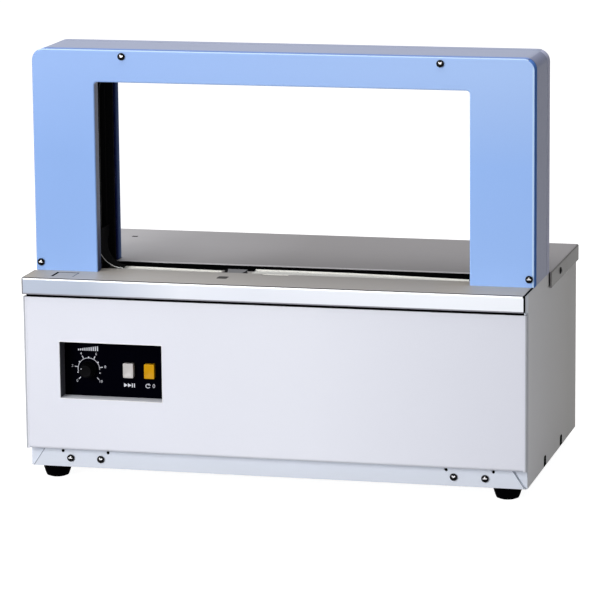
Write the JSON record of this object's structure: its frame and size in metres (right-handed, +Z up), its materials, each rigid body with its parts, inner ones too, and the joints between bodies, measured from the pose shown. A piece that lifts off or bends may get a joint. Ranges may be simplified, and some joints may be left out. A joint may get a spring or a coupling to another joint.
{
  "type": "banknote strapping machine",
  "caption": "Tabletop strapping machine: folded steel base with split table and recessed controls, a square blue arch over the slot, clamping head, tape feed and reel inside.",
  "frame": {"origin": "middle of the machine's outline on the surface that its feet stand on", "axes": "+X to the operator's right along the table, +Y to the back, +Z up"},
  "size_m": [0.623, 0.357, 0.522],
  "materials": {
    "white_paint": "satin",
    "plinth_paint": "satin",
    "table_steel": "satin brushed",
    "blue_paint": "satin",
    "violet_grey_paint": "satin",
    "grey_paint": "satin",
    "black_plastic": "satin",
    "control_box_paint": "satin",
    "white_key": "gloss",
    "amber_key": "gloss",
    "rubber": "matte",
    "dark_screw_steel": "blackened",
    "polished_steel": "polished",
    "zinc_steel": "zinc plated",
    "aluminium": "machined",
    "blackened_steel": "blackened",
    "reel_plastic": "matte",
    "paper_tape": "matte",
    "transformer_iron": "varnished",
    "board_green": "gloss"
  },
  "bodies": {
    "machine": {"anvil_rails": "zinc_steel", "anvil_solenoid": "blackened_steel", "arch_band": "violet_grey_paint", "arch_brackets": "zinc_steel", "arch_frame": "zinc_steel", "arch_front_cover": "blue_paint", "arch_rear_cover": "blue_paint", "arch_screws": "dark_screw_steel", "base_tray": "plinth_paint", "button_housings": "black_plastic", "camshaft_bearings": "polished_steel", "control_board": "board_green", "control_box": "control_box_paint", "control_plate": "black_plastic", "corner_guides": "blackened_steel", "drive_belt": "rubber", "fan_frame": "black_plastic", "feed_bracket": "zinc_steel", "feed_motor": "aluminium", "foot_screws": "dark_screw_steel", "front_cover": "white_paint", "front_table": "table_steel", "gear_motor": "aluminium", "head_block": "aluminium", "head_stand": "zinc_steel", "inlet_and_switch": "black_plastic", "left_side_panel": "grey_paint", "motor_bracket": "zinc_steel", "panel_screws": "dark_screw_steel", "potentiometer": "black_plastic", "rear_cover": "grey_paint", "rear_table": "table_steel", "reel_bracket": "zinc_steel", "right_side_panel": "grey_paint", "rubber_feet": "rubber", "slot_strips": "polished_steel", "start_sensor": "black_plastic", "table_rails": "zinc_steel", "tape_chute": "zinc_steel", "tape_track": "black_plastic", "transformer": "transformer_iron"},
    "knob": {"tension_knob": "black_plastic"},
    "feed_key": {"feed_button": "white_key"},
    "reset_key": {"reset_button": "amber_key"},
    "mains_rocker": {"power_rocker": "black_plastic"},
    "fan": {"fan_rotor": "black_plastic"},
    "cam_drive": {"camshaft": "polished_steel", "camshaft_pulley": "aluminium"},
    "motor_drive": {"motor_pulley": "aluminium"},
    "left_clamp": {"left_gripper": "polished_steel"},
    "middle_clamp": {"press_head": "polished_steel", "seal_heater": "aluminium", "cutter_blade": "polished_steel"},
    "right_clamp": {"right_gripper": "polished_steel"},
    "anvil": {"anvil_plate": "polished_steel", "anvil_slide": "blackened_steel"},
    "feed_drive": {"feed_roller": "rubber"},
    "pinch": {"pinch_roller": "polished_steel"},
    "reel": {"tape_reel": "reel_plastic", "tape_roll": "paper_tape"}
  },
  "joints": [
    {"name": "knob_turn", "type": "hinge", "parent": "machine", "child": "knob", "pos_m": [-0.2337, -0.1575, 0.137], "axis": [0, 1, 0], "range_deg": [-75, 225]},
    {"name": "feed_key_press", "type": "slide", "parent": "machine", "child": "feed_key", "axis": [0, 1, 0], "range_m": [0, 0.0025], "stiffness_N_per_m": 200},
    {"name": "reset_key_press", "type": "slide", "parent": "machine", "child": "reset_key", "axis": [0, 1, 0], "range_m": [0, 0.0025], "stiffness_N_per_m": 200},
    {"name": "mains_rocker_tilt", "type": "hinge", "parent": "machine", "child": "mains_rocker", "pos_m": [-0.185, 0.171, 0.072], "axis": [1, 0, 0], "range_deg": [0, 14]},
    {"name": "fan_turn", "type": "hinge", "parent": "machine", "child": "fan", "pos_m": [0.205, 0.1635, 0.14], "axis": [0, 1, 0], "continuous": true},
    {"name": "cam_turn", "type": "hinge", "parent": "machine", "child": "cam_drive", "pos_m": [-0.068, -0.062, 0.1], "axis": [1, 0, 0], "range_deg": [0, 120]},
    {"name": "motor_turn", "type": "hinge", "parent": "machine", "child": "motor_drive", "pos_m": [0, 0.025, 0.072], "axis": [1, 0, 0], "range_deg": [0, 240]},
    {"name": "left_clamp_lift", "type": "slide", "parent": "machine", "child": "left_clamp", "axis": [0, 0, 1], "range_m": [0, 0.006]},
    {"name": "middle_clamp_lift", "type": "slide", "parent": "machine", "child": "middle_clamp", "axis": [0, 0, 1], "range_m": [0, 0.006]},
    {"name": "right_clamp_lift", "type": "slide", "parent": "machine", "child": "right_clamp", "axis": [0, 0, 1], "range_m": [0, 0.006]},
    {"name": "anvil_withdraw", "type": "slide", "parent": "machine", "child": "anvil", "axis": [0, -1, 0], "range_m": [0, 0.023], "stiffness_N_per_m": 150},
    {"name": "feed_turn", "type": "hinge", "parent": "machine", "child": "feed_drive", "pos_m": [0.04, -0.062, 0.208], "axis": [0, 1, 0], "continuous": true},
    {"name": "pinch_turn", "type": "hinge", "parent": "machine", "child": "pinch", "pos_m": [0.04, -0.062, 0.2334], "axis": [0, 1, 0], "continuous": true},
    {"name": "reel_turn", "type": "hinge", "parent": "machine", "child": "reel", "pos_m": [0.175, -0.062, 0.125], "axis": [0, 1, 0], "continuous": true}
  ],
  "couplings": [
    {"joint": "motor_turn", "follows": "cam_turn", "ratio": 2},
    {"joint": "left_clamp_lift", "follows": "cam_turn", "m_per_rad": 0.002864},
    {"joint": "middle_clamp_lift", "follows": "cam_turn", "m_per_rad": 0.002864},
    {"joint": "right_clamp_lift", "follows": "cam_turn", "m_per_rad": 0.002864},
    {"joint": "pinch_turn", "follows": "feed_turn", "ratio": -1.5}
  ]
}
